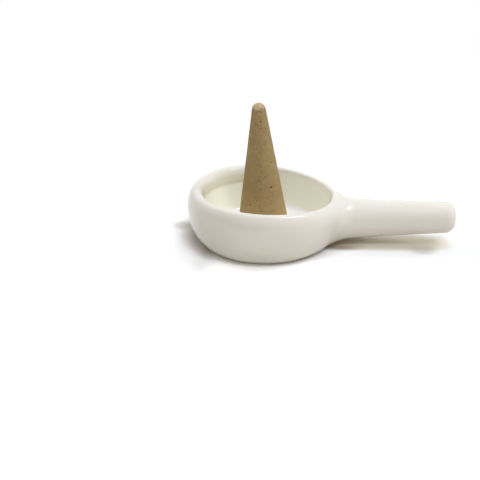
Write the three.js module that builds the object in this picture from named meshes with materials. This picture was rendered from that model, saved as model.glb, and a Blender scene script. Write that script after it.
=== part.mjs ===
// A small glazed ceramic incense holder: a low round dish with a short stout handle, and the pressed incense
// cone that stands loose in the dish's well.
//
// Millimetres, +Z up. The origin is the centre of the flat foot that the dish stands on, and the handle points
// along +X. The dish is one casting, so its wall, rim, well and handle are one closed skin. The outside of the
// skin is where a blended distance is zero. That distance joins the round wall and the handle softly, which
// gives the fillet all round the root of the handle.

import * as THREE from 'three';
import { mergeVertices } from 'three/addons/utils/BufferGeometryUtils.js';

// Round wall of the dish
const RIM_HEIGHT = 17.7;
const RIM_RADIUS = 21.1;
const WIDEST_RADIUS = 24.1;
const WIDEST_HEIGHT = 12.3;
const FOOT_RADIUS = 16.6;

// The rim is a little lower on the side of the handle
const RIM_DIP = 3.8;
const RIM_DIP_TURN = THREE.MathUtils.degToRad(22);

// Well inside the wall. It has a crease round the direction CREASE_TURN. In each pair the first value is for the
// sides without the crease, and the second one for that direction. CREASE_FADE is where one turns into the other,
// as cosines of the turn from it.
const CREASE_TURN = THREE.MathUtils.degToRad(150);
const CREASE_FADE = [0.25, 0.75];
const EDGE_REACH = [1.0, 2.0];
const EDGE_DROP = [1.3, 2.4];
const EDGE_TURN = [THREE.MathUtils.degToRad(65), THREE.MathUtils.degToRad(90)];
const NECK_LENGTH = [0.35, 2.4];
const NECK_LEAN = [-0.15, 0.2];
const BOWL_CURVE = 1.5;
const FLOOR_HEIGHT = 4.4;
const FLOOR_RADIUS = 14.5;

// Handle, a tapered bar of oval section
const HANDLE_ROOT_X = 24;
const HANDLE_END_X = 58;
const HANDLE_ROOT_HALF_HEIGHT = 6.0;
const HANDLE_END_HALF_HEIGHT = 4.65;
const HANDLE_OVAL = 1.09;
const HANDLE_ROOT_AXIS_HEIGHT = 7.35;
const HANDLE_END_AXIS_HEIGHT = 8.4;
const HANDLE_END_ROUND = 3.1;
const HANDLE_FLARE = 0.3;
const HANDLE_FLARE_LENGTH = 12;
const HANDLE_FLARE_LIMIT = 20;
const HANDLE_TAPER_LIMITS = [-0.6, 1.2];
const HANDLE_BLEND = 4.1;

// Incense cone
const CONE_HEIGHT = 39.5;
const CONE_BASE_RADIUS = 7.9;
const CONE_TIP_RADIUS = 2.1;
const CONE_BASE_EDGE = 0.35;
const CONE_LEAN = THREE.MathUtils.degToRad(1.6);
const CONE_PLACE_X = -0.7;
const CONE_GAP = 0.05;

// Facets
const WALL_COLUMNS = 56;
const FILLET_COLUMNS = 7;
const HANDLE_COLUMNS = 9;
const HANDLE_END_COLUMNS = 10;
const TOP_ROWS = 9;
const ROUND_ROWS = 14;
const UNDER_ROWS = 6;
const RIM_ROWS = 5;
const NECK_ROWS = 2;
const BOWL_ROWS = 8;
const CONE_SIDES = 40;
const CONE_TIP_STEPS = 5;

// Search for the outside, along rays from a core inside the clay
const CORE_HEIGHT = 8;
const RAY_LENGTH = 30;
const HALVINGS = 32;
const LEAST_SLOPE = 0.02;
const TOP_CROWDING = 1.5;
const CURVED_LENGTH = 9;
const STRAIGHT_CROWDING = 5;

// What is left of the full height at a place, as a share: 1 opposite the handle, least near its root.
function heightShare(x, y) {
  const along = x * Math.cos(RIM_DIP_TURN) + y * Math.sin(RIM_DIP_TURN);
  const nearness = THREE.MathUtils.clamp((1 + along / WIDEST_RADIUS) / 2, 0, 1);
  return 1 - (RIM_DIP / RIM_HEIGHT) * nearness * nearness;
}

// Distance to the round wall. Its section is a quarter ellipse from the rim out to the widest level, and
// another from there down and in to the flat foot.
function wallDistance(x, y, z) {
  const level = z / heightShare(x, y);
  const upper = level >= WIDEST_HEIGHT;
  const innerRadius = upper ? RIM_RADIUS : FOOT_RADIUS;
  const halfWidth = WIDEST_RADIUS - innerRadius;
  const halfHeight = upper ? RIM_HEIGHT - WIDEST_HEIGHT : WIDEST_HEIGHT;
  const across = Math.max(Math.hypot(x, y) - innerRadius, 0) / halfWidth;
  const rise = (level - WIDEST_HEIGHT) / halfHeight;
  const reach = Math.max(Math.hypot(across, rise), Number.EPSILON);
  const slope = Math.hypot(across / halfWidth, rise / halfHeight) / reach;
  return (reach - 1) / Math.max(slope, LEAST_SLOPE);
}

// Distance to the handle: a tapered oval bar with a rounded blunt end, whose other end is inside the dish.
function handleDistance(x, y, z) {
  const length = HANDLE_END_X - HANDLE_ROOT_X;
  const along = THREE.MathUtils.clamp((x - HANDLE_ROOT_X) / length, ...HANDLE_TAPER_LIMITS);
  const flareX = HANDLE_ROOT_X + HANDLE_FLARE_LENGTH;
  const flare = THREE.MathUtils.clamp(flareX - x, 0, HANDLE_FLARE_LIMIT) / HANDLE_FLARE_LENGTH;
  const taper = THREE.MathUtils.lerp(HANDLE_ROOT_HALF_HEIGHT, HANDLE_END_HALF_HEIGHT, along);
  const halfHeight = taper + HANDLE_FLARE * flare * flare;
  const axisHeight = THREE.MathUtils.lerp(HANDLE_ROOT_AXIS_HEIGHT, HANDLE_END_AXIS_HEIGHT, along);
  const outward = Math.hypot(y / HANDLE_OVAL, z - axisHeight) - (halfHeight - HANDLE_END_ROUND);
  const innerEndX = HANDLE_ROOT_X / 3;
  const beyond = Math.max(x - (HANDLE_END_X - HANDLE_END_ROUND), innerEndX - x);
  const outside = Math.hypot(Math.max(outward, 0), Math.max(beyond, 0));
  return outside + Math.min(Math.max(outward, beyond), 0) - HANDLE_END_ROUND;
}

// The two distances joined, with a soft fillet where they are alike.
function dishDistance(x, y, z) {
  const wall = wallDistance(x, y, z);
  const handle = handleDistance(x, y, z);
  const closeness = Math.max(HANDLE_BLEND - Math.abs(wall - handle), 0);
  return Math.min(wall, handle) - (closeness * closeness) / (4 * HANDLE_BLEND);
}

// Where a ray from a point inside the clay leaves it, found by halving. The foot is ground flat, so nothing
// reaches below it.
function surfacePoint(origin, direction) {
  let inside = 0;
  let outside = RAY_LENGTH;
  for (let step = 0; step < HALVINGS; step += 1) {
    const middle = (inside + outside) / 2;
    const p = origin.clone().addScaledVector(direction, middle);
    if (dishDistance(p.x, p.y, p.z) < 0) {
      inside = middle;
    } else {
      outside = middle;
    }
  }
  const hit = origin.clone().addScaledVector(direction, inside);
  hit.z = Math.max(hit.z, 0);
  return hit;
}

// Guide line round the dish and its handle, seen from above. It only says where the columns of the skin stand
// and which way each one faces: round the wall, through the fillet, along the handle and round its end. Half of
// it is worked out, and the other half is its mirror image. Each column leaves the rim at crestTurn, and along the
// handle those places crowd together so that the columns don't cross.
function guideColumns() {
  const handleHalfWidth = 6;
  const filletRadius = 7;
  const wallInset = 1.75;
  const handleInset = 2;
  const crowding = 0.7;
  const filletY = handleHalfWidth + filletRadius;
  const filletX = Math.sqrt((WIDEST_RADIUS + filletRadius) ** 2 - filletY ** 2);
  const filletTurn = Math.atan2(filletY, filletX);
  const rootTurn = crowding * Math.atan2(handleHalfWidth - handleInset, filletX);
  const endX = HANDLE_END_X - handleHalfWidth;
  const half = [];
  const add = (x, y, turn, inset) => {
    const out = new THREE.Vector2(Math.cos(turn), Math.sin(turn));
    const anchor = new THREE.Vector2(x, y).addScaledVector(out, -inset);
    half.push({ out, anchor, crestTurn: Math.atan2(anchor.y, anchor.x) });
  };
  for (let i = 0; i < WALL_COLUMNS / 2; i += 1) {
    const turn = THREE.MathUtils.lerp(Math.PI, filletTurn, i / (WALL_COLUMNS / 2));
    add(WIDEST_RADIUS * Math.cos(turn), WIDEST_RADIUS * Math.sin(turn), turn, wallInset);
  }
  for (let i = 0; i < FILLET_COLUMNS; i += 1) {
    const share = i / FILLET_COLUMNS;
    const turn = THREE.MathUtils.lerp(filletTurn, Math.PI / 2, share);
    const x = filletX - filletRadius * Math.cos(turn);
    const y = filletY - filletRadius * Math.sin(turn);
    add(x, y, turn, THREE.MathUtils.lerp(wallInset, handleInset, share));
    half.at(-1).crestTurn *= THREE.MathUtils.lerp(1, crowding, share);
  }
  for (let i = 0; i < HANDLE_COLUMNS; i += 1) {
    add(THREE.MathUtils.lerp(filletX, endX, i / HANDLE_COLUMNS), handleHalfWidth, Math.PI / 2, handleInset);
  }
  for (let i = 0; i <= HANDLE_END_COLUMNS / 2; i += 1) {
    const turn = (Math.PI / 2) * (1 - i / (HANDLE_END_COLUMNS / 2));
    add(endX + handleHalfWidth * Math.cos(turn), handleHalfWidth * Math.sin(turn), turn, handleInset);
  }
  const onHandle = HANDLE_COLUMNS + HANDLE_END_COLUMNS / 2;
  for (let i = 0; i <= onHandle; i += 1) {
    half.at(i - onHandle - 1).crestTurn = rootTurn * (1 - i / onHandle);
  }
  const mirrored = half.slice(1, -1).reverse().map(({ out, anchor, crestTurn }) => ({
    out: new THREE.Vector2(out.x, -out.y),
    anchor: new THREE.Vector2(anchor.x, -anchor.y),
    crestTurn: -crestTurn,
  }));
  return [...half, ...mirrored];
}

// Section of the well in one direction from its centre, from the rim's crest down to the edge of the floor: part
// of a quarter ellipse, then a straight neck, then a wall that sweeps in to the floor.
function wellSection(turn, crest) {
  const creased = THREE.MathUtils.smoothstep(Math.cos(turn - CREASE_TURN), ...CREASE_FADE);
  const between = ([plain, sharp]) => THREE.MathUtils.lerp(plain, sharp, creased);
  const section = [];
  const add = (radius, height) => {
    section.push(new THREE.Vector3(radius * Math.cos(turn), radius * Math.sin(turn), height));
  };
  const edgeRadius = (angle) => RIM_RADIUS - between(EDGE_REACH) * Math.sin(angle);
  const edgeHeight = (angle) => crest - between(EDGE_DROP) * (1 - Math.cos(angle));
  const edgeEnd = between(EDGE_TURN);
  for (let i = 1; i <= RIM_ROWS; i += 1) {
    const angle = edgeEnd * (i / RIM_ROWS);
    add(edgeRadius(angle), edgeHeight(angle));
  }
  for (let i = 1; i <= NECK_ROWS; i += 1) {
    const share = i / NECK_ROWS;
    const height = edgeHeight(edgeEnd) - between(NECK_LENGTH) * share;
    add(edgeRadius(edgeEnd) + between(NECK_LEAN) * share, height);
  }
  const topRadius = edgeRadius(edgeEnd) + between(NECK_LEAN);
  const topHeight = edgeHeight(edgeEnd) - between(NECK_LENGTH);
  for (let i = 1; i <= BOWL_ROWS; i += 1) {
    const share = 1 - i / BOWL_ROWS;
    const height = THREE.MathUtils.lerp(FLOOR_HEIGHT, topHeight, share ** BOWL_CURVE);
    add(THREE.MathUtils.lerp(FLOOR_RADIUS, topRadius, share), height);
  }
  return section;
}

// Place on a plan path that leaves a circle about the centre straight outwards and bends to meet an anchor. Step 0
// is on the circle, and step 1 is the anchor. A long path takes its steps close together over the curved first
// stretch, and longer ones along the straight handle.
function pathPoint(radius, turn, anchor, step) {
  const radial = new THREE.Vector2(Math.cos(turn), Math.sin(turn));
  const length = anchor.dot(radial) - radius;
  const curvedLength = Math.min(length, CURVED_LENGTH);
  const along = curvedLength * step + (length - curvedLength) * step ** STRAIGHT_CROWDING;
  const bend = (1 - Math.sqrt(1 - along / length)) ** 2;
  const corner = radial.clone().multiplyScalar(radius + length);
  const straight = radial.clone().multiplyScalar(radius + along);
  return straight.addScaledVector(anchor.clone().sub(corner), bend);
}

// Outside of the dish in one column, from the rim's crest over the top, round the side and under to the foot.
function outerSection({ out, anchor, crestTurn }) {
  const up = new THREE.Vector3(0, 0, 1);
  const down = new THREE.Vector3(0, 0, -1);
  const core = (flat) => new THREE.Vector3(flat.x, flat.y, CORE_HEIGHT);
  const section = [];
  for (let i = 0; i < TOP_ROWS; i += 1) {
    const step = (i / TOP_ROWS) ** TOP_CROWDING;
    section.push(surfacePoint(core(pathPoint(RIM_RADIUS, crestTurn, anchor, step)), up));
  }
  for (let i = 0; i <= ROUND_ROWS; i += 1) {
    const angle = Math.PI * (0.5 - i / ROUND_ROWS);
    const level = Math.cos(angle);
    section.push(surfacePoint(core(anchor), new THREE.Vector3(out.x * level, out.y * level, Math.sin(angle))));
  }
  for (let i = UNDER_ROWS - 1; i >= 0; i -= 1) {
    section.push(surfacePoint(core(pathPoint(FOOT_RADIUS, crestTurn, anchor, i / UNDER_ROWS)), down));
  }
  return section;
}

// One closed skin from columns of points that all run from one pole to another.
function closedSkin(firstPole, columns, lastPole) {
  const rows = columns[0].length;
  const positions = [...firstPole.toArray()];
  columns.forEach((column) => column.forEach((point) => positions.push(...point.toArray())));
  positions.push(...lastPole.toArray());
  const last = 1 + columns.length * rows;
  const at = (column, row) => 1 + (column % columns.length) * rows + row;
  const faces = [];
  for (let column = 0; column < columns.length; column += 1) {
    faces.push(0, at(column, 0), at(column + 1, 0));
    for (let row = 0; row + 1 < rows; row += 1) {
      faces.push(at(column, row), at(column, row + 1), at(column + 1, row));
      faces.push(at(column + 1, row), at(column, row + 1), at(column + 1, row + 1));
    }
    faces.push(at(column, rows - 1), last, at(column + 1, rows - 1));
  }
  const geometry = new THREE.BufferGeometry();
  geometry.setAttribute('position', new THREE.Float32BufferAttribute(positions, 3));
  geometry.setIndex(faces);
  geometry.computeVertexNormals();
  return geometry;
}

// The columns run from the middle of the well's floor, up its wall, over the rim and under to the foot.
function dish() {
  const columns = guideColumns().map((column) => {
    const outer = outerSection(column);
    return [...wellSection(column.crestTurn, outer[0].z).reverse(), ...outer];
  });
  columns.reverse();
  return closedSkin(new THREE.Vector3(0, 0, FLOOR_HEIGHT), columns, new THREE.Vector3(0, 0, 0));
}

// A turned cone with a softened base edge and a round tip, sheared a little so that it leans away from the handle.
function incenseCone() {
  const sideTurn = Math.atan2(CONE_BASE_RADIUS - CONE_TIP_RADIUS, CONE_HEIGHT - CONE_TIP_RADIUS);
  const tipCentre = CONE_HEIGHT - CONE_TIP_RADIUS;
  const profile = [new THREE.Vector2(0, 0)];
  profile.push(new THREE.Vector2(CONE_BASE_RADIUS - CONE_BASE_EDGE, 0));
  profile.push(new THREE.Vector2(CONE_BASE_RADIUS, CONE_BASE_EDGE));
  for (let i = 0; i < CONE_TIP_STEPS; i += 1) {
    const angle = THREE.MathUtils.lerp(sideTurn, Math.PI / 2, i / CONE_TIP_STEPS);
    const radius = CONE_TIP_RADIUS * Math.cos(angle);
    profile.push(new THREE.Vector2(radius, tipCentre + CONE_TIP_RADIUS * Math.sin(angle)));
  }
  profile.push(new THREE.Vector2(0, CONE_HEIGHT));
  const turned = new THREE.LatheGeometry(profile, CONE_SIDES);
  turned.deleteAttribute('normal');
  turned.deleteAttribute('uv');
  const geometry = mergeVertices(turned);
  geometry.rotateX(Math.PI / 2);
  geometry.applyMatrix4(new THREE.Matrix4().makeShear(0, 0, 0, 0, -Math.tan(CONE_LEAN), 0));
  geometry.computeVertexNormals();
  return geometry;
}

const glaze = new THREE.MeshStandardMaterial({ color: 0xe4dfd4, roughness: 0.12, metalness: 0 });
const incense = new THREE.MeshStandardMaterial({ color: 0x917950, roughness: 0.95, metalness: 0 });

const holder = new THREE.Group();

const dishMesh = new THREE.Mesh(dish(), glaze);
dishMesh.name = 'dish';
holder.add(dishMesh);

const coneMesh = new THREE.Mesh(incenseCone(), incense);
coneMesh.name = 'incense_cone';
coneMesh.position.set(CONE_PLACE_X, 0, FLOOR_HEIGHT + CONE_GAP);
holder.add(coneMesh);

export default holder;
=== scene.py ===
# Looks of a small glazed ceramic incense holder: a low round dish with a stout handle, and an incense cone.
#
# Lengths are in millimetres and are turned into metres where a mesh, a lamp or the camera is made. The
# origin is the centre of the foot, the handle points along +X and +Z is up.

import math

import bpy
import numpy as np
from mathutils import Matrix, Vector


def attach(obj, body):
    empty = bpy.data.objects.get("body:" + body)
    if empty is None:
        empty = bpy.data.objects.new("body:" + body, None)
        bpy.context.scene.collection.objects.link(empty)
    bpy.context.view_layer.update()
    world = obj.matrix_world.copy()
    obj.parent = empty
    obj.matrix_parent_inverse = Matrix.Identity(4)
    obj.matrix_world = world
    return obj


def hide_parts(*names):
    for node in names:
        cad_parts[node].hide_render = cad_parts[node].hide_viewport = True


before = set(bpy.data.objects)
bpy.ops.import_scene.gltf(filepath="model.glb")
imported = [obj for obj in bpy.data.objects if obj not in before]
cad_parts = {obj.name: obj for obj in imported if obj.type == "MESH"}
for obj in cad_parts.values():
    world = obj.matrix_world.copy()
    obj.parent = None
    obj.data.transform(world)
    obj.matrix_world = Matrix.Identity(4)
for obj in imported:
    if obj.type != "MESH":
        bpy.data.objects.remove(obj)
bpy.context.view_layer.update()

MM = 0.001

# Round wall of the dish
RIM_HEIGHT = 17.7
RIM_RADIUS = 21.1
WIDEST_RADIUS = 24.1
WIDEST_HEIGHT = 12.3
FOOT_RADIUS = 16.6

# The rim is a little lower on the side of the handle
RIM_DIP = 3.8
RIM_DIP_TURN = math.radians(22)

# Well inside the wall
CREASE_TURN = math.radians(150)
CREASE_FADE = (0.25, 0.75)
EDGE_REACH = (1.0, 2.0)
EDGE_DROP = (1.3, 2.4)
EDGE_TURN = (math.radians(65), math.radians(90))
NECK_LENGTH = (0.35, 2.4)
NECK_LEAN = (-0.15, 0.2)
BOWL_CURVE = 1.5
FLOOR_HEIGHT = 4.4
FLOOR_RADIUS = 14.5

# Handle, a tapered bar of oval section
HANDLE_ROOT_X = 24
HANDLE_END_X = 58
HANDLE_ROOT_HALF_HEIGHT = 6.0
HANDLE_END_HALF_HEIGHT = 4.65
HANDLE_OVAL = 1.09
HANDLE_ROOT_AXIS_HEIGHT = 7.35
HANDLE_END_AXIS_HEIGHT = 8.4
HANDLE_END_ROUND = 3.1
HANDLE_FLARE = 0.3
HANDLE_FLARE_LENGTH = 12
HANDLE_BLEND = 4.1
HANDLE_HALF_WIDTH = 6
HANDLE_START_X = 8
HANDLE_TAPER_LIMITS = (-0.6, 1.2)
HANDLE_FLARE_LIMIT = 20

# How the skin of the dish is found: rays leave a level inside the clay and are halved until they meet the
# surface. Close to the rim and the foot the rays start on plan curves.
CORE_HEIGHT = 8
RAY_LENGTH = 30.0
HALVINGS = 36
LEAST_SLOPE = 0.02
TINY = 1e-9
TOP_CROWDING = 1.5
CURVED_LENGTH = 9
STRAIGHT_CROWDING = 5
GUIDE_FILLET_RADIUS = 7
GUIDE_WALL_INSET = 1.75
GUIDE_HANDLE_INSET = 2
GUIDE_CROWDING = 0.7

# Incense cone
CONE_HEIGHT = 39.5
CONE_BASE_RADIUS = 7.9
CONE_TIP_RADIUS = 2.1
CONE_BASE_EDGE = 0.35
CONE_LEAN = math.radians(1.6)
CONE_PLACE_X = -0.7
CONE_GAP = 0.05

# Marks on the cone: turn in degrees, height above its base, width, and how dark and deep it is
CONE_PITS = [
    (-57, 38.1, 0.5, 0.9),
    (-74, 37.3, 0.4, 0.7),
    (-39, 37.3, 0.35, 0.5),
    (-15, 37.8, 0.45, 0.6),
    (-76, 34.5, 0.45, 0.7),
    (-90, 29.0, 0.4, 0.3),
    (-86, 27.9, 0.4, 0.25),
    (-41, 21.9, 0.35, 0.6),
    (-95, 21.8, 0.9, 0.3),
    (-74, 17.9, 0.4, 0.45),
    (-70, 17.7, 0.35, 0.4),
    (-96, 17.0, 0.8, 0.35),
    (-56, 14.5, 0.55, 1.0),
    (-108, 13.6, 0.35, 0.3),
    (-107, 11.5, 0.7, 0.3),
    (-72, 11.4, 0.4, 0.35),
    (-102, 10.8, 0.4, 0.65),
    (-122, 8.9, 0.4, 0.55),
    (-90, 7.4, 0.4, 0.5),
    (-57, 7.3, 0.35, 0.5),
    (110, 26.0, 0.5, 0.6),
    (65, 12.5, 0.5, 0.7),
    (20, 19.0, 0.4, 0.5),
    (165, 16.0, 0.5, 0.6),
]
PIT_DEPTH = 0.25
DENT_DEPTH = 0.05
DENT_SIZE = 3.1
DENT_SEED = 1.7
CRUMB_DEPTH = 0.3
CRUMB_SIZE = 0.45
CRUMB_SEED = 2.9
CRUMB_REPEATS = 6
CRUMB_THRESHOLD = 0.1
CRUMBS_BELOW_TIP = (2.6, 1.6)
LEAST_RADIUS_SHARE = 0.6
CONE_SIDES = 260

# Camera, placed by fitting the outline of the dish. Pixels count from the top left of the photograph, which
# is 480 pixels wide.
PHOTO_PIXELS = 480
TARGET = Vector((0, 0, 8))
TARGET_PIXEL_X = 265.74
TARGET_PIXEL_Y = 214.6
PIXELS_PER_MM = 3.233
CAMERA_DISTANCE = 300
CAMERA_ELEVATION = math.radians(23.87)
CAMERA_AZIMUTH = math.radians(-4.15)
CAMERA_ROLL = math.radians(-0.56)
SENSOR_WIDTH = 36

# Masks of the well, each from its start to its full strength: distance from the middle, height above the
# table, depth below the rim, way towards the crease's side, and heights of the bare foot and the white floor
WELL_EDGE = (20.9, 20.3)
WELL_ABOVE_FOOT = (3, 4)
WELL_DEPTH = (0.5, 2.4)
CREASE_SIDE = (6, 14)
# Darker colour along the crease, pooled glaze with painted shade: its half width and strength
CREASE_HALF_WIDTH = 0.9
CREASE_STRENGTH = 0.7
FOOT_EDGE = (0.35, 0.1)
FLOOR_EDGE = (FLOOR_HEIGHT + 1.6, FLOOR_HEIGHT + 0.1)

# Finish of the glaze and the clay
GLAZE_CLOUDS = 9
GLAZE_WAVES = 7
GLAZE_WAVE_HEIGHT = 0.04
GLAZE_ROUGHNESS = 0.05
GLAZE_IOR = 1.5
CLAY_GRAIN = 0.6
CLAY_ROUGHNESS = 0.75

# Masks of the cone: share of a pit that is fully dark, the ragged edge of the pale cap, and the sides of
# the rougher strip
PIT_CORE = 0.3
PIT_STRENGTH = 0.75
CAP_EDGE = (FLOOR_HEIGHT + CONE_GAP + CONE_HEIGHT - 1.1, FLOOR_HEIGHT + CONE_GAP + CONE_HEIGHT - 0.8)
CAP_RAGGED_SIZE = 0.7
CAP_RAGGED_HEIGHT = 1.3
ROUGH_LEFT_EDGE = (-4.5, -3)
ROUGH_RIGHT_EDGE = (4.5, 2)
ROUGH_LEAST = 0.2

# Finish of the incense: sizes of its spots, levels of the noise that make a crumb, and strengths
GRAIN_SIZE = 0.3
GRAIN_IN_TONE = 0.5
MOTTLE_SIZE = 2.2
MOTTLE_IN_TONE = 0.7
TONE_OFFSET = 0.1
CRUMB_SPOTS = 0.6
RAISED_CRUMBS = (0.56, 0.68)
SUNK_CRUMBS = (0.44, 0.33)
RAISED_STRENGTH = 0.4
SUNK_STRENGTH = 0.22
INCENSE_BUMP = 0.2
INCENSE_ROUGHNESS = 0.95
INCENSE_SPECULAR = 0.2

# Colours, as shares of red, green and blue light that come back
GLAZE_LIGHT = (0.825, 0.79, 0.71, 1)
GLAZE_WARM = (0.81, 0.765, 0.68, 1)
GLAZE_WELL = (0.865, 0.845, 0.70, 1)
# Well's floor: whiter glaze, partly a painted sheen
GLAZE_FLOOR_AND_SHEEN = (0.90, 0.895, 0.88, 1)
# Crease: darker pooled glaze with painted shade
CREASE_POOL_AND_SHADE = (0.66, 0.62, 0.44, 1)
CLAY_LIGHT = (0.80, 0.74, 0.64, 1)
CLAY_DARK = (0.70, 0.63, 0.52, 1)
INCENSE_LIGHT = (0.445, 0.317, 0.157, 1)
INCENSE_DARK = (0.355, 0.247, 0.113, 1)
INCENSE_CAP = (0.62, 0.47, 0.29, 1)
INCENSE_PIT = (0.09, 0.05, 0.015, 1)

# Paper floor: how bright its parts look, where 1 is white, and the colours of the light that it gives back
FLOOR_SEEN = 0.96
# Painted light: the floor in front of the dish and to its left is brighter, which washes out its shadow
# there
FLOOR_PAINTED_LIGHT_IN_FRONT = 1.6
FLOOR_PAINTED_LIGHT_LEFT = 1.14
FLOOR_LIGHT = (0.74, 0.71, 0.66, 1)
FLOOR_DARK = (0.72, 0.69, 0.64, 1)
FLOOR_CLOUDS = 200
FLOOR_HALF_WIDTH = 3000

# Where the painted light on the front part and the left part of the floor starts, and where the floor turns
# plain white
FRONT_STARTS_X = (-20, -10)
FRONT_STARTS_Y = (-11, -21)
LEFT_STARTS_X = (-16, -22)
WHITE_FROM = (110, 220)

# Painted shadow close to the dish, where the floor darkens: middle in x and y, how much longer along x than
# along y, distances at which the darkening is full and gone, its strength and colour, and the x at which it
# ends
SHADE_DEEP = (0.10, 0.05, 0.0, 1)
SHADE_WARM = (0.95, 0.85, 0.66, 1)
SHADE_SPOTS = [
    (0, 6, 1, 21.5, 30, 0.66, SHADE_DEEP, -13),
    (-27.8, 8.5, 1, 1, 5, 0.32, SHADE_DEEP, -13),
    (23, -4.2, 2.4, 1.2, 4.2, 0.8, SHADE_DEEP, 65),
    (48, -6.5, 1.5, 1, 4, 0.3, SHADE_DEEP, 65),
    (38, -1.5, 3.5, 4, 7.5, 0.6, SHADE_WARM, 65),
]
SHADE_END_LENGTH = 5

# Lamps, all aimed at the object: name, place, width, height, power in watts and tint. The glaze doesn't
# mirror the soft lamps. The sharp ones give its highlights.
COOL = (0.92, 1.0, 1.1)
PLAIN = (1.0, 1.0, 1.0)
WARM = (1.15, 1.0, 0.8)
SOFT_LAMPS = [
    ("left", (-800, 200, 480), 500, 300, 0.95, PLAIN),
    ("left_back", (-600, 600, 450), 500, 300, 3.0, PLAIN),
    ("front_low", (0, -850, 200), 500, 250, 0.42, PLAIN),
    ("front", (100, -750, 500), 500, 300, 0.95, WARM),
    ("top_front", (250, -500, 830), 500, 300, 2.85, COOL),
    ("right_top", (750, 50, 650), 300, 300, 1.75, COOL),
    ("overhead", (0, 0, 1000), 500, 400, 1.55, PLAIN),
    ("back_top", (100, 500, 850), 500, 300, 1.1, COOL),
    ("back_right", (650, 500, 550), 300, 300, 1.25, PLAIN),
]
SHARP_LAMPS = [
    ("strip", (510, 150, 1000), 620, 70, 3.0, PLAIN),
    ("left_dot", (-870, 550, 1000), 100, 100, 0.25, PLAIN),
    ("front_dot", (-500, -100, 1000), 90, 90, 0.2, PLAIN),
]

# Brightness of the studio as the glaze mirrors it, where 1 is white. The backdrop fades in where the
# direction leans this far backwards.
BACKDROP_MIRRORED = 0.9
ROOM_MIRRORED = 0.6
BACKDROP_EDGE = (-0.05, 0.2)


def lerp(a, b, share):
    return a + (b - a) * share


def smooth_step(value, low, high):
    """Share from 0 to 1 as a value goes from low to high: 3 times its square less 2 times its cube."""
    share = np.clip((value - low) / (high - low), 0, 1)
    return share**2 * (3 - 2 * share)


def height_share(x, y):
    """What is left of the full height, as a share.

    It is 1 less the dip, as a share of the height, times the square of the nearness to the dip's side.
    """
    along = x * math.cos(RIM_DIP_TURN) + y * math.sin(RIM_DIP_TURN)
    nearness = np.clip((1 + along / WIDEST_RADIUS) / 2, 0, 1)
    return 1 - RIM_DIP / RIM_HEIGHT * nearness**2


def wall_distance(x, y, z):
    """Distance to the round wall: quarter ellipses from the rim to the widest level and on to the foot."""
    level = z / height_share(x, y)
    upper = level >= WIDEST_HEIGHT
    inner_radius = np.where(upper, RIM_RADIUS, FOOT_RADIUS)
    half_width = WIDEST_RADIUS - inner_radius
    half_height = np.where(upper, RIM_HEIGHT - WIDEST_HEIGHT, WIDEST_HEIGHT)
    across = np.maximum(np.hypot(x, y) - inner_radius, 0) / half_width
    rise = (level - WIDEST_HEIGHT) / half_height
    reach = np.hypot(across, rise) + TINY
    slope = np.hypot(across / half_width, rise / half_height) / reach
    return (reach - 1) / np.maximum(slope, LEAST_SLOPE)


def handle_distance(x, y, z):
    """Distance to the handle: a tapered oval bar with a rounded blunt end."""
    along = np.clip((x - HANDLE_ROOT_X) / (HANDLE_END_X - HANDLE_ROOT_X), *HANDLE_TAPER_LIMITS)
    flare_way = np.clip(HANDLE_ROOT_X + HANDLE_FLARE_LENGTH - x, 0, HANDLE_FLARE_LIMIT)
    taper = lerp(HANDLE_ROOT_HALF_HEIGHT, HANDLE_END_HALF_HEIGHT, along)
    half_height = taper + HANDLE_FLARE * (flare_way / HANDLE_FLARE_LENGTH) ** 2
    axis_height = lerp(HANDLE_ROOT_AXIS_HEIGHT, HANDLE_END_AXIS_HEIGHT, along)
    outward = np.hypot(y / HANDLE_OVAL, z - axis_height) - (half_height - HANDLE_END_ROUND)
    beyond = np.maximum(x - (HANDLE_END_X - HANDLE_END_ROUND), HANDLE_START_X - x)
    outside = np.hypot(np.maximum(outward, 0), np.maximum(beyond, 0))
    return outside + np.minimum(np.maximum(outward, beyond), 0) - HANDLE_END_ROUND


def dish_distance(x, y, z):
    """The smaller of the two distances, with a soft fillet where they are alike."""
    wall = wall_distance(x, y, z)
    handle = handle_distance(x, y, z)
    closeness = np.maximum(HANDLE_BLEND - np.abs(wall - handle), 0)
    return np.minimum(wall, handle) - closeness**2 / (4 * HANDLE_BLEND)


def surface_points(origins, directions):
    """Where rays from points inside the clay leave it, found by halving. The foot cuts them off flat."""
    inside = np.zeros(origins.shape[:-1])
    outside = np.full(origins.shape[:-1], RAY_LENGTH)
    for _ in range(HALVINGS):
        middle = (inside + outside) / 2
        points = origins + directions * middle[..., None]
        within = dish_distance(points[..., 0], points[..., 1], points[..., 2]) < 0
        inside = np.where(within, middle, inside)
        outside = np.where(within, outside, middle)
    points = origins + directions * inside[..., None]
    points[..., 2] = np.maximum(points[..., 2], 0)
    return points


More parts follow.
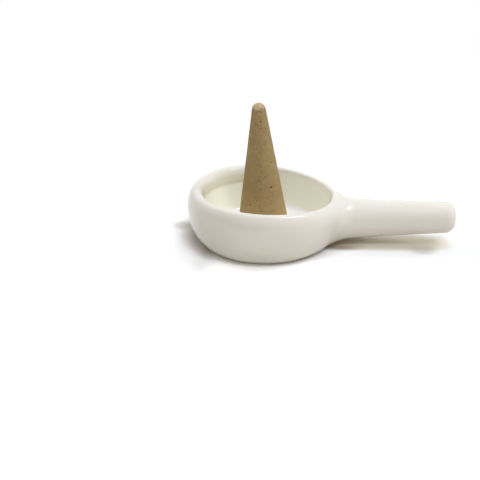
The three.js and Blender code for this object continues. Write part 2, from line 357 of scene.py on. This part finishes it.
def guide_columns(wall_count, fillet_count, handle_count, end_count):
    """Plan of the columns of the skin: turn of the outward direction, anchor point and turn on the rim.

    The columns stand round the wall, through the fillet, along the handle and round half of its end, and
    are then mirrored. The counts are for one half. The places on the rim crowd together along the handle so
    that the columns don't cross.
    """
    fillet_y = HANDLE_HALF_WIDTH + GUIDE_FILLET_RADIUS
    fillet_x = math.sqrt((WIDEST_RADIUS + GUIDE_FILLET_RADIUS) ** 2 - fillet_y**2)
    fillet_turn = math.atan2(fillet_y, fillet_x)
    end_x = HANDLE_END_X - HANDLE_HALF_WIDTH
    wall = np.arange(wall_count) / wall_count
    fillet = np.arange(fillet_count) / fillet_count
    handle = np.arange(handle_count) / handle_count
    end = np.arange(end_count + 1) / end_count

    wall_turn = lerp(math.pi, fillet_turn, wall)
    fillet_turns = lerp(fillet_turn, math.pi / 2, fillet)
    end_turn = lerp(math.pi / 2, 0, end)
    turn = np.concatenate([wall_turn, fillet_turns, np.full(handle_count, math.pi / 2), end_turn])
    x = np.concatenate([
        WIDEST_RADIUS * np.cos(wall_turn),
        fillet_x - GUIDE_FILLET_RADIUS * np.cos(fillet_turns),
        lerp(fillet_x, end_x, handle),
        end_x + HANDLE_HALF_WIDTH * np.cos(end_turn),
    ])
    y = np.concatenate([
        WIDEST_RADIUS * np.sin(wall_turn),
        fillet_y - GUIDE_FILLET_RADIUS * np.sin(fillet_turns),
        np.full(handle_count, HANDLE_HALF_WIDTH),
        HANDLE_HALF_WIDTH * np.sin(end_turn),
    ])
    inset = np.concatenate([
        np.full(wall_count, GUIDE_WALL_INSET),
        lerp(GUIDE_WALL_INSET, GUIDE_HANDLE_INSET, fillet),
        np.full(handle_count + end_count + 1, GUIDE_HANDLE_INSET),
    ])
    anchor_x = x - inset * np.cos(turn)
    anchor_y = y - inset * np.sin(turn)
    crest_turn = np.arctan2(anchor_y, anchor_x)
    crest_turn[wall_count : wall_count + fillet_count] *= lerp(1, GUIDE_CROWDING, fillet)
    root_turn = GUIDE_CROWDING * math.atan2(HANDLE_HALF_WIDTH - GUIDE_HANDLE_INSET, fillet_x)
    crest_turn[wall_count + fillet_count :] = np.linspace(root_turn, 0, handle_count + end_count + 1)

    back = slice(-2, 0, -1)
    turn = np.concatenate([turn, -turn[back]])
    anchor = np.stack([
        np.concatenate([anchor_x, anchor_x[back]]),
        np.concatenate([anchor_y, -anchor_y[back]]),
    ], -1)
    return turn, anchor, np.concatenate([crest_turn, -crest_turn[back]])


def path_points(radius, turn, anchor, step):
    """Plan paths that leave a circle straight outwards and bend to meet their anchors, at a step up to 1.

    The bend is the square of 1 less the square root of the share of the way that is left.
    """
    radial = np.stack([np.cos(turn), np.sin(turn)], -1)
    length = (anchor * radial).sum(-1) - radius
    curved_length = np.minimum(length, CURVED_LENGTH)
    along = curved_length * step + (length - curved_length) * step**STRAIGHT_CROWDING
    bend = (1 - np.sqrt(1 - along / length)) ** 2
    corner = radial * (radius + length)[:, None]
    return radial * (radius + along)[:, None] + (anchor - corner) * bend[:, None]


def outer_rows(turn, anchor, crest_turn, top_rows, round_rows, under_rows):
    """Outside of the dish as rows of points, from the rim's crest over the top and the side to the foot."""
    count = len(turn)

    def core(plan):
        return np.column_stack([plan, np.full(count, CORE_HEIGHT)])

    up = np.tile([0.0, 0.0, 1.0], (count, 1))
    rows = []
    for i in range(top_rows):
        plan = path_points(RIM_RADIUS, crest_turn, anchor, (i / top_rows) ** TOP_CROWDING)
        rows.append(surface_points(core(plan), up))
    for i in range(round_rows + 1):
        angle = math.pi * (0.5 - i / round_rows)
        level = math.cos(angle)
        rise = np.full(count, math.sin(angle))
        out = np.column_stack([np.cos(turn) * level, np.sin(turn) * level, rise])
        rows.append(surface_points(core(anchor), out))
    for i in range(under_rows - 1, -1, -1):
        plan = path_points(FOOT_RADIUS, crest_turn, anchor, i / under_rows)
        rows.append(surface_points(core(plan), -up))
    return rows


def well_rows(turn, crest, rim_rows, neck_rows, bowl_rows):
    """Inside of the dish as rows of points, from just below the rim's crest to the edge of the floor.

    Part of a quarter ellipse comes first, then a straight neck, then a wall whose height is a power of the
    share of the way out from the floor's edge to its top.
    """
    creased = smooth_step(np.cos(turn - CREASE_TURN), *CREASE_FADE)
    rows = []

    def add(radius, height):
        rows.append(np.column_stack([radius * np.cos(turn), radius * np.sin(turn), height]))

    reach = lerp(*EDGE_REACH, creased)
    drop = lerp(*EDGE_DROP, creased)

    def edge(angle):
        return RIM_RADIUS - reach * np.sin(angle), crest - drop * (1 - np.cos(angle))

    edge_end = lerp(*EDGE_TURN, creased)
    for i in range(1, rim_rows + 1):
        add(*edge(edge_end * i / rim_rows))
    radius, height = edge(edge_end)
    top_radius = radius + lerp(*NECK_LEAN, creased)
    top_height = height - lerp(*NECK_LENGTH, creased)
    for i in range(1, neck_rows + 1):
        add(lerp(radius, top_radius, i / neck_rows), lerp(height, top_height, i / neck_rows))
    for i in range(1, bowl_rows + 1):
        share = 1 - i / bowl_rows
        add(lerp(FLOOR_RADIUS, top_radius, share), lerp(FLOOR_HEIGHT, top_height, share**BOWL_CURVE))
    return rows


def closed_skin(name, first_pole, rows, last_pole):
    """Mesh object from rings of points between two poles. A band of quads joins each ring to the next."""
    rings = np.array(rows)
    ring_count, count, _ = rings.shape
    points = np.concatenate([[first_pole], rings.reshape(-1, 3), [last_pole]]) * MM
    last = len(points) - 1
    here = np.arange(count)
    after = (here + 1) % count
    ring_start = 1 + count * np.arange(ring_count)[:, None]
    a = ring_start[:-1] + here
    b = ring_start[:-1] + after
    quads = np.stack([a, a + count, b + count, b], -1).reshape(-1, 4)
    first_fan = np.stack([np.zeros(count, int), 1 + here, 1 + after], -1)
    last_fan = np.stack([last - count + here, np.full(count, last), last - count + after], -1)
    corners = np.concatenate([first_fan.ravel(), quads.ravel(), last_fan.ravel()])
    sizes = np.concatenate([np.full(count, 3), np.full(len(quads), 4), np.full(count, 3)])
    mesh = bpy.data.meshes.new(name)
    mesh.vertices.add(len(points))
    mesh.vertices.foreach_set("co", points.ravel())
    mesh.loops.add(len(corners))
    mesh.loops.foreach_set("vertex_index", corners)
    mesh.polygons.add(len(sizes))
    mesh.polygons.foreach_set("loop_start", np.concatenate([[0], np.cumsum(sizes)[:-1]]))
    mesh.polygons.foreach_set("use_smooth", np.ones(len(sizes), bool))
    mesh.update(calc_edges=True)
    mesh.validate()
    made = bpy.data.objects.new(name, mesh)
    bpy.context.scene.collection.objects.link(made)
    return made


def make_dish():
    """The dish's skin, from the middle of the well's floor over the rim and round to that of the foot."""
    turn, anchor, crest_turn = guide_columns(
        wall_count=100,
        fillet_count=30,
        handle_count=32,
        end_count=24,
    )
    outer = outer_rows(turn, anchor, crest_turn, top_rows=26, round_rows=44, under_rows=20)
    well = well_rows(crest_turn, outer[0][:, 2], rim_rows=14, neck_rows=10, bowl_rows=36)
    rows = [row[::-1] for row in well[::-1] + outer]
    return closed_skin("dish_glazed", (0, 0, FLOOR_HEIGHT), rows, (0, 0, 0))


def cone_profile(edge_steps, side_steps, tip_steps):
    """Radius and height of the cone, from its base edge up its side and over the round tip."""
    side_turn = math.atan2(CONE_BASE_RADIUS - CONE_TIP_RADIUS, CONE_HEIGHT - CONE_TIP_RADIUS)
    tip_centre = CONE_HEIGHT - CONE_TIP_RADIUS
    edge_turn = np.linspace(-math.pi / 2, side_turn, edge_steps)
    edge_radius = CONE_BASE_RADIUS - CONE_BASE_EDGE + CONE_BASE_EDGE * np.cos(edge_turn)
    edge_height = CONE_BASE_EDGE + CONE_BASE_EDGE * np.sin(edge_turn)
    share = np.linspace(0, 1, side_steps)[1:]
    tip_radius = CONE_TIP_RADIUS * math.cos(side_turn)
    tip_start = tip_centre + CONE_TIP_RADIUS * math.sin(side_turn)
    side_radius = lerp(edge_radius[-1], tip_radius, share)
    side_height = lerp(edge_height[-1], tip_start, share)
    round_turn = np.linspace(side_turn, math.pi / 2, tip_steps)[1:-1]
    round_radius = CONE_TIP_RADIUS * np.cos(round_turn)
    round_height = tip_centre + CONE_TIP_RADIUS * np.sin(round_turn)
    radius = np.concatenate([edge_radius, side_radius, round_radius])
    height = np.concatenate([edge_height, side_height, round_height])
    return radius, height


def ripple(angle, height, size, seed):
    """Uneven ripple round the cone, about -1 to 1.

    It is the sum of seven sine waves that run round the cone and twist up it, each times a cosine wave up
    the cone. Each pair has rates of its own.
    """
    waves = 7
    loudest = 4
    fewest_around = 3
    first_twist = 1.37
    twist_step = 0.37
    first_rate = 1.87
    rate_step = -0.23
    seed_step = 2.3
    total = np.zeros(np.broadcast(angle, height).shape)
    for k in range(waves):
        number = k + 1
        twist = height / size * (first_twist + twist_step * k)
        around = (fewest_around + k) * angle + seed * number + twist
        up = height / size * (first_rate + rate_step * k) + seed_step * number * seed
        total += np.sin(around) * np.cos(up)
    return total / loudest


def cone_point(turn, height):
    """Place on the cone's surface, before its dents, at a turn in degrees and a height above its base."""
    side_slope = (CONE_BASE_RADIUS - CONE_TIP_RADIUS) / (CONE_HEIGHT - CONE_TIP_RADIUS)
    radius = CONE_BASE_RADIUS - side_slope * height
    angle = math.radians(turn)
    axis_x = CONE_PLACE_X - math.tan(CONE_LEAN) * height
    z = FLOOR_HEIGHT + CONE_GAP + height
    return Vector((axis_x + radius * math.cos(angle), radius * math.sin(angle), z))


def make_cone():
    """The pressed cone: a turned profile, sheared so that it leans.

    Its radius is less by shallow ripples, by pits whose depth falls off as a bell curve round their
    middles, and by stronger ripples round the tip, where crumbs broke off.
    """
    radius, height = cone_profile(edge_steps=8, side_steps=230, tip_steps=30)
    angle = np.linspace(0, 2 * math.pi, CONE_SIDES, endpoint=False)[None, :]
    radius = radius[:, None]
    height = height[:, None]
    pressed = DENT_DEPTH * (1 + ripple(angle, height, DENT_SIZE, DENT_SEED)) / 2
    for turn, pit_height, width, strength in CONE_PITS:
        turned = (angle - math.radians(turn) + math.pi) % (2 * math.pi) - math.pi
        away = np.hypot(turned * radius, height - pit_height)
        pressed = pressed + PIT_DEPTH * strength * np.exp(-((away / width) ** 2))
    near_tip = smooth_step(height, *[CONE_HEIGHT - below for below in CRUMBS_BELOW_TIP])
    crumbs = np.maximum(ripple(CRUMB_REPEATS * angle, height, CRUMB_SIZE, CRUMB_SEED) - CRUMB_THRESHOLD, 0)
    pressed = pressed + CRUMB_DEPTH * near_tip * crumbs
    rough_radius = np.maximum(radius - pressed, radius * LEAST_RADIUS_SHARE)
    x = CONE_PLACE_X - np.tan(CONE_LEAN) * height + rough_radius * np.cos(angle)
    y = rough_radius * np.sin(angle)
    z = np.broadcast_to(height, x.shape) + FLOOR_HEIGHT + CONE_GAP
    rows = [row[::-1] for row in np.stack([x, y, z], -1)]
    base = (CONE_PLACE_X, 0, FLOOR_HEIGHT + CONE_GAP)
    top_x = CONE_PLACE_X - math.tan(CONE_LEAN) * CONE_HEIGHT
    top = (top_x, 0, base[2] + CONE_HEIGHT)
    return closed_skin("cone_pressed", base, rows, top)


def feed(tree, socket, value):
    """Link a socket to another node's output, or write a plain value into it."""
    if isinstance(value, bpy.types.NodeSocket):
        tree.links.new(value, socket)
    else:
        socket.default_value = value


def calculate(tree, operation, *values):
    """Result of a Math node."""
    node = tree.nodes.new("ShaderNodeMath")
    node.operation = operation
    for socket, value in zip(node.inputs, values):
        feed(tree, socket, value)
    return node.outputs["Value"]


def fade(tree, value, start, end):
    """0 before the start and 1 past the end, with a smooth step between. The start may be the larger."""
    node = tree.nodes.new("ShaderNodeMapRange")
    node.interpolation_type = "SMOOTHSTEP"
    falling = start > end
    feed(tree, node.inputs["Value"], value)
    node.inputs["From Min"].default_value = min(start, end)
    node.inputs["From Max"].default_value = max(start, end)
    node.inputs["To Min"].default_value = 1 if falling else 0
    node.inputs["To Max"].default_value = 0 if falling else 1
    return node.outputs["Result"]


def noise(tree, place, size, detail=2.0, roughness=0.5, distortion=0.0):
    """Noise from 0 to 1 in spots about size millimetres wide."""
    node = tree.nodes.new("ShaderNodeTexNoise")
    feed(tree, node.inputs["Vector"], place)
    node.inputs["Scale"].default_value = 1 / (size * MM)
    node.inputs["Detail"].default_value = detail
    node.inputs["Roughness"].default_value = roughness
    node.inputs["Distortion"].default_value = distortion
    return node.outputs["Fac"]


def blend(tree, share, first, second):
    """Mix of two colours, the first where the share is 0."""
    node = tree.nodes.new("ShaderNodeMix")
    node.data_type = "RGBA"
    feed(tree, node.inputs["Factor"], share)
    feed(tree, node.inputs[6], first)
    feed(tree, node.inputs[7], second)
    return node.outputs[2]


def bump(tree, height, distance):
    """Normal of a surface raised by a height from 0 to 1 over a distance in millimetres."""
    node = tree.nodes.new("ShaderNodeBump")
    feed(tree, node.inputs["Height"], height)
    node.inputs["Distance"].default_value = distance * MM
    return node.outputs["Normal"]


def object_place(tree):
    """Place on the object, in metres."""
    return tree.nodes.new("ShaderNodeTexCoord").outputs["Object"]


def new_group(name, outputs):
    """An empty node group with a Place input and outputs given as pairs of name and socket kind."""
    tree = bpy.data.node_groups.new(name, "ShaderNodeTree")
    tree.interface.new_socket("Place", in_out="INPUT", socket_type="NodeSocketVector")
    for label, kind in outputs:
        tree.interface.new_socket(label, in_out="OUTPUT", socket_type=kind)
    return tree, tree.nodes.new("NodeGroupInput").outputs["Place"], tree.nodes.new("NodeGroupOutput")


def use_group(tree, group, place):
    """Put a group in a material and return its outputs."""
    node = tree.nodes.new("ShaderNodeGroup")
    node.node_tree = group
    feed(tree, node.inputs["Place"], place)
    return node.outputs


def new_material(name):
    """A material that holds only a Principled shader and its output."""
    material = bpy.data.materials.new(name)
    material.use_nodes = True
    tree = material.node_tree
    return material, tree, tree.nodes["Principled BSDF"]


def millimetre_fade(tree, value, limits):
    """Fade of a length between two limits given in millimetres."""
    start, end = limits
    return fade(tree, value, start * MM, end * MM)


def plan_distance(tree, x, y):
    """Distance from the middle, seen from above."""
    square = calculate(tree, "MULTIPLY_ADD", x, x, calculate(tree, "MULTIPLY", y, y))
    return calculate(tree, "POWER", square, 0.5)


def plan_step(tree, x, y, turn):
    """How far a place lies from the middle in the direction of a turn, seen from above."""
    across = calculate(tree, "MULTIPLY", y, math.sin(turn))
    return calculate(tree, "MULTIPLY_ADD", x, math.cos(turn), across)


def well_group():
    """Masks of the dish: the well, the crease where glaze pools and painted shade darkens it, the bare foot
    and the well's floor.
    """
    tree, place, result = new_group("well_masks", [
        ("Well", "NodeSocketFloat"),
        ("Crease", "NodeSocketFloat"),
        ("Foot", "NodeSocketFloat"),
        ("Floor", "NodeSocketFloat"),
    ])
    apart = tree.nodes.new("ShaderNodeSeparateXYZ")
    feed(tree, apart.inputs[0], place)
    x, y, z = apart.outputs
    radius = plan_distance(tree, x, y)
    toward = plan_step(tree, x, y, RIM_DIP_TURN)
    nearness = calculate(tree, "MULTIPLY_ADD", toward, 0.5 / (WIDEST_RADIUS * MM), 0.5)
    dip = calculate(tree, "MULTIPLY", calculate(tree, "MULTIPLY", nearness, nearness), RIM_DIP * MM)
    depth = calculate(tree, "SUBTRACT", calculate(tree, "SUBTRACT", RIM_HEIGHT * MM, dip), z)
    in_plan = millimetre_fade(tree, radius, WELL_EDGE)
    inside = calculate(tree, "MULTIPLY", in_plan, millimetre_fade(tree, z, WELL_ABOVE_FOOT))
    well = calculate(tree, "MULTIPLY", inside, millimetre_fade(tree, depth, WELL_DEPTH))
    crease_depth = (EDGE_DROP[1] + NECK_LENGTH[1]) * MM
    off_crease = calculate(tree, "ABSOLUTE", calculate(tree, "SUBTRACT", depth, crease_depth))
    on_crease = millimetre_fade(tree, off_crease, (CREASE_HALF_WIDTH, 0))
    on_side = millimetre_fade(tree, plan_step(tree, x, y, CREASE_TURN), CREASE_SIDE)
    crease = calculate(tree, "MULTIPLY", on_crease, on_side)
    feed(tree, result.inputs["Well"], well)
    feed(tree, result.inputs["Crease"], calculate(tree, "MULTIPLY", crease, inside))
    feed(tree, result.inputs["Foot"], millimetre_fade(tree, z, FOOT_EDGE))
    feed(tree, result.inputs["Floor"], millimetre_fade(tree, z, FLOOR_EDGE))
    return tree


def glaze_material():
    """White glaze, a little warm outside and yellower where it pools in the well. Along the crease it is
    darker: pooled glaze with painted shade. On the well's floor it is whiter, partly a painted sheen. The
    foot is bare.
    """
    material, tree, shader = new_material("glazed_ceramic")
    place = object_place(tree)
    masks = use_group(tree, well_group(), place)
    cloud = noise(tree, place, GLAZE_CLOUDS, detail=2)
    outside = blend(tree, cloud, GLAZE_LIGHT, GLAZE_WARM)
    # The well's floor is whiter: its glaze, partly a painted sheen
    pooled = blend(tree, masks["Well"], outside, blend(tree, masks["Floor"], GLAZE_WELL, GLAZE_FLOOR_AND_SHEEN))
    # Painted shade along the crease, where glaze also pools
    in_crease = calculate(tree, "MULTIPLY", masks["Crease"], CREASE_STRENGTH)
    creased = blend(tree, in_crease, pooled, CREASE_POOL_AND_SHADE)
    clay = blend(tree, noise(tree, place, CLAY_GRAIN, detail=4), CLAY_LIGHT, CLAY_DARK)
    feed(tree, shader.inputs["Base Color"], blend(tree, masks["Foot"], creased, clay))
    more_rough = CLAY_ROUGHNESS - GLAZE_ROUGHNESS
    roughness = calculate(tree, "MULTIPLY_ADD", masks["Foot"], more_rough, GLAZE_ROUGHNESS)
    feed(tree, shader.inputs["Roughness"], roughness)
    waves = noise(tree, place, GLAZE_WAVES, detail=1)
    feed(tree, shader.inputs["Normal"], bump(tree, waves, GLAZE_WAVE_HEIGHT))
    shader.inputs["IOR"].default_value = GLAZE_IOR
    return material


def cone_group():
    """Masks of the cone: its pits, the pale crumbly cap at its tip, and the rougher strip down it."""
    tree, place, result = new_group("cone_masks", [
        ("Pits", "NodeSocketFloat"),
        ("Cap", "NodeSocketFloat"),
        ("Rough", "NodeSocketFloat"),
    ])
    pits = 0.0
    for turn, pit_height, width, strength in CONE_PITS:
        away = tree.nodes.new("ShaderNodeVectorMath")
        away.operation = "DISTANCE"
        feed(tree, away.inputs[0], place)
        away.inputs[1].default_value = cone_point(turn, pit_height) * MM
        mark = millimetre_fade(tree, away.outputs["Value"], (width, PIT_CORE * width))
        pits = calculate(tree, "MAXIMUM", pits, calculate(tree, "MULTIPLY", mark, strength))
    apart = tree.nodes.new("ShaderNodeSeparateXYZ")
    feed(tree, apart.inputs[0], place)
    uneven = noise(tree, place, CAP_RAGGED_SIZE, detail=3)
    ragged = calculate(tree, "MULTIPLY_ADD", uneven, CAP_RAGGED_HEIGHT * MM, apart.outputs["Z"])
    left_edge = millimetre_fade(tree, apart.outputs["X"], ROUGH_LEFT_EDGE)
    right_edge = millimetre_fade(tree, apart.outputs["X"], ROUGH_RIGHT_EDGE)
    rough = calculate(tree, "MULTIPLY", left_edge, right_edge)
    feed(tree, result.inputs["Pits"], pits)
    feed(tree, result.inputs["Cap"], millimetre_fade(tree, ragged, CAP_EDGE))
    feed(tree, result.inputs["Rough"], calculate(tree, "MULTIPLY_ADD", rough, 1 - ROUGH_LEAST, ROUGH_LEAST))
    return tree


def incense_material():
    """Matte pressed wood powder: fine grain, soft mottles, dark pits, and a pale cap at the tip."""
    material, tree, shader = new_material("pressed_incense")
    place = object_place(tree)
    masks = use_group(tree, cone_group(), place)
    grain = noise(tree, place, GRAIN_SIZE, detail=3, roughness=0.6)
    mottle = noise(tree, place, MOTTLE_SIZE, detail=2, roughness=0.5)
    crumbs = noise(tree, place, CRUMB_SPOTS, detail=2, roughness=0.7, distortion=0.6)
    raised = calculate(tree, "MULTIPLY", fade(tree, crumbs, *RAISED_CRUMBS), masks["Rough"])
    sunk = calculate(tree, "MULTIPLY", fade(tree, crumbs, *SUNK_CRUMBS), masks["Rough"])
    grainy = calculate(tree, "MULTIPLY_ADD", grain, GRAIN_IN_TONE, -TONE_OFFSET)
    soft = calculate(tree, "MULTIPLY_ADD", mottle, MOTTLE_IN_TONE, grainy)
    tone = blend(tree, soft, INCENSE_DARK, INCENSE_LIGHT)
    crumbly = blend(tree, calculate(tree, "MULTIPLY", raised, RAISED_STRENGTH), tone, INCENSE_CAP)
    sunken = blend(tree, calculate(tree, "MULTIPLY", sunk, SUNK_STRENGTH), crumbly, INCENSE_PIT)
    capped = blend(tree, masks["Cap"], sunken, INCENSE_CAP)
    pitted = blend(tree, calculate(tree, "MULTIPLY", masks["Pits"], PIT_STRENGTH), capped, INCENSE_PIT)
    feed(tree, shader.inputs["Base Color"], pitted)
    high = calculate(tree, "MULTIPLY_ADD", raised, 0.5, mottle)
    low = calculate(tree, "MULTIPLY_ADD", sunk, 0.5, masks["Pits"])
    uneven = calculate(tree, "SUBTRACT", high, low)
    feed(tree, shader.inputs["Normal"], bump(tree, uneven, INCENSE_BUMP))
    shader.inputs["Roughness"].default_value = INCENSE_ROUGHNESS
    shader.inputs["Specular IOR Level"].default_value = INCENSE_SPECULAR
    return material


def shaded(tree, apart, bright):
    """Floor brightness with painted shadow close to the dish: each spot is a stretched round fade."""
    for x, y, stretch, near, far, strength, colour, end in SHADE_SPOTS:
        along = calculate(tree, "MULTIPLY_ADD", apart.outputs["X"], 1 / stretch, -x * MM / stretch)
        across = calculate(tree, "SUBTRACT", apart.outputs["Y"], y * MM)
        close = millimetre_fade(tree, plan_distance(tree, along, across), (far, near))
        before_end = millimetre_fade(tree, apart.outputs["X"], (end, end - SHADE_END_LENGTH))
        # Painted shadow: the floor darkens towards the spot's colour
        shade = calculate(tree, "MULTIPLY", calculate(tree, "MULTIPLY", close, before_end), strength)
        bright = blend(tree, shade, bright, colour)
    return bright


def floor_material():
    """White paper that keeps the object's shadow, with painted shadow close to the dish and painted light in
    front of it and to its left, and turns plain white away from it.

    What the camera and the glaze see of it has its own brightness. The light that it gives back to the
    object is that of grey paper.
    """
    material = bpy.data.materials.new("paper_floor")
    material.use_nodes = True
    tree = material.node_tree
    tree.nodes.remove(tree.nodes["Principled BSDF"])
    paper = tree.nodes.new("ShaderNodeBsdfDiffuse")
    path = tree.nodes.new("ShaderNodeLightPath")
    place = object_place(tree)
    plain = blend(tree, noise(tree, place, FLOOR_CLOUDS), FLOOR_LIGHT, FLOOR_DARK)
    apart = tree.nodes.new("ShaderNodeSeparateXYZ")
    feed(tree, apart.inputs[0], place)
    # Painted light in front of the dish and to its left
    painted_light_in_front = calculate(tree, "MULTIPLY", millimetre_fade(tree, apart.outputs["X"], FRONT_STARTS_X),
                         millimetre_fade(tree, apart.outputs["Y"], FRONT_STARTS_Y))
    painted_light_at_left = millimetre_fade(tree, apart.outputs["X"], LEFT_STARTS_X)
    bright = calculate(tree, "MULTIPLY_ADD", painted_light_in_front, FLOOR_PAINTED_LIGHT_IN_FRONT - FLOOR_SEEN, FLOOR_SEEN)
    bright = calculate(tree, "MULTIPLY_ADD", painted_light_at_left, FLOOR_PAINTED_LIGHT_LEFT - FLOOR_SEEN, bright)
    seen = calculate(tree, "MAXIMUM", path.outputs["Is Camera Ray"], path.outputs["Is Glossy Ray"])
    seen = calculate(tree, "MAXIMUM", seen, path.outputs["Is Transmission Ray"])
    feed(tree, paper.inputs["Color"], blend(tree, seen, plain, shaded(tree, apart, bright)))
    white = tree.nodes.new("ShaderNodeEmission")
    white.inputs["Color"].default_value = (1, 1, 1, 1)
    length = tree.nodes.new("ShaderNodeVectorMath")
    length.operation = "LENGTH"
    feed(tree, length.inputs[0], place)
    away = millimetre_fade(tree, length.outputs["Value"], WHITE_FROM)
    surface = tree.nodes.new("ShaderNodeMixShader")
    feed(tree, surface.inputs["Fac"], calculate(tree, "MULTIPLY", away, seen))
    feed(tree, surface.inputs[1], paper.outputs["BSDF"])
    feed(tree, surface.inputs[2], white.outputs["Emission"])
    feed(tree, tree.nodes["Material Output"].inputs["Surface"], surface.outputs["Shader"])
    return material


def make_floor():
    half = FLOOR_HALF_WIDTH * MM
    mesh = bpy.data.meshes.new("floor")
    corners = [(-half, -half, 0), (half, -half, 0), (half, half, 0), (-half, half, 0)]
    mesh.from_pydata(corners, [], [(0, 1, 2, 3)])
    floor = bpy.data.objects.new("floor", mesh)
    bpy.context.scene.collection.objects.link(floor)
    floor.data.materials.append(floor_material())


def make_camera():
    forward = Vector((
        math.sin(CAMERA_AZIMUTH) * math.cos(CAMERA_ELEVATION),
        math.cos(CAMERA_AZIMUTH) * math.cos(CAMERA_ELEVATION),
        -math.sin(CAMERA_ELEVATION),
    ))
    level = Vector((math.cos(CAMERA_AZIMUTH), -math.sin(CAMERA_AZIMUTH), 0))
    upright = level.cross(forward)
    right = level * math.cos(CAMERA_ROLL) + upright * math.sin(CAMERA_ROLL)
    up = upright * math.cos(CAMERA_ROLL) - level * math.sin(CAMERA_ROLL)
    data = bpy.data.cameras.new("camera")
    data.sensor_width = SENSOR_WIDTH
    data.lens = PIXELS_PER_MM * CAMERA_DISTANCE / PHOTO_PIXELS * SENSOR_WIDTH
    data.shift_x = (PHOTO_PIXELS / 2 - TARGET_PIXEL_X) / PHOTO_PIXELS
    data.shift_y = (TARGET_PIXEL_Y - PHOTO_PIXELS / 2) / PHOTO_PIXELS
    data.clip_start = 0.01
    camera = bpy.data.objects.new("camera", data)
    axes = Matrix((right, up, -forward)).transposed().to_4x4()
    camera.matrix_world = Matrix.Translation((TARGET - forward * CAMERA_DISTANCE) * MM) @ axes
    bpy.context.scene.collection.objects.link(camera)
    bpy.context.scene.camera = camera


def add_lamp(name, place, width, height, power, tint, mirrored):
    """A rectangular lamp that faces the origin. Its width runs along X as far as it can."""
    data = bpy.data.lights.new(name, "AREA")
    data.shape = "RECTANGLE"
    data.size = width * MM
    data.size_y = height * MM
    data.energy = power
    data.color = tint
    lamp = bpy.data.objects.new(name, data)
    back = Vector(place).normalized()
    across = back.cross((1, 0, 0)).normalized()
    turn = Matrix((across.cross(back), across, back)).transposed().to_4x4()
    lamp.matrix_world = Matrix.Translation(Vector(place) * MM) @ turn
    lamp.visible_glossy = mirrored
    bpy.context.scene.collection.objects.link(lamp)
    return lamp


def make_world():
    """White studio as the camera sees it. The glaze mirrors its backdrop and a dimmer room in front."""
    world = bpy.data.worlds.new("studio")
    world.use_nodes = True
    tree = world.node_tree
    background = tree.nodes["Background"]
    path = tree.nodes.new("ShaderNodeLightPath")
    apart = tree.nodes.new("ShaderNodeSeparateXYZ")
    feed(tree, apart.inputs[0], tree.nodes.new("ShaderNodeTexCoord").outputs["Generated"])
    behind = fade(tree, apart.outputs["Y"], *BACKDROP_EDGE)
    mirrored = calculate(tree, "MULTIPLY_ADD", behind, BACKDROP_MIRRORED - ROOM_MIRRORED, ROOM_MIRRORED)
    strength = calculate(tree, "MULTIPLY", mirrored, path.outputs["Is Glossy Ray"])
    seen = calculate(tree, "MAXIMUM", path.outputs["Is Camera Ray"], path.outputs["Is Transmission Ray"])
    feed(tree, background.inputs["Strength"], calculate(tree, "MAXIMUM", strength, seen))
    background.inputs["Color"].default_value = (1, 1, 1, 1)
    bpy.context.scene.world = world


bpy.context.scene.view_settings.view_transform = "Standard"
make_camera()
make_world()
make_floor()

dish = make_dish()
dish.data.materials.append(glaze_material())
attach(dish, "dish")
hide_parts("dish")

cone = make_cone()
cone.data.materials.append(incense_material())
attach(cone, "cone")
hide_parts("incense_cone")

for values in SOFT_LAMPS:
    add_lamp(*values, mirrored=False)
for values in SHARP_LAMPS:
    add_lamp(*values, mirrored=True)
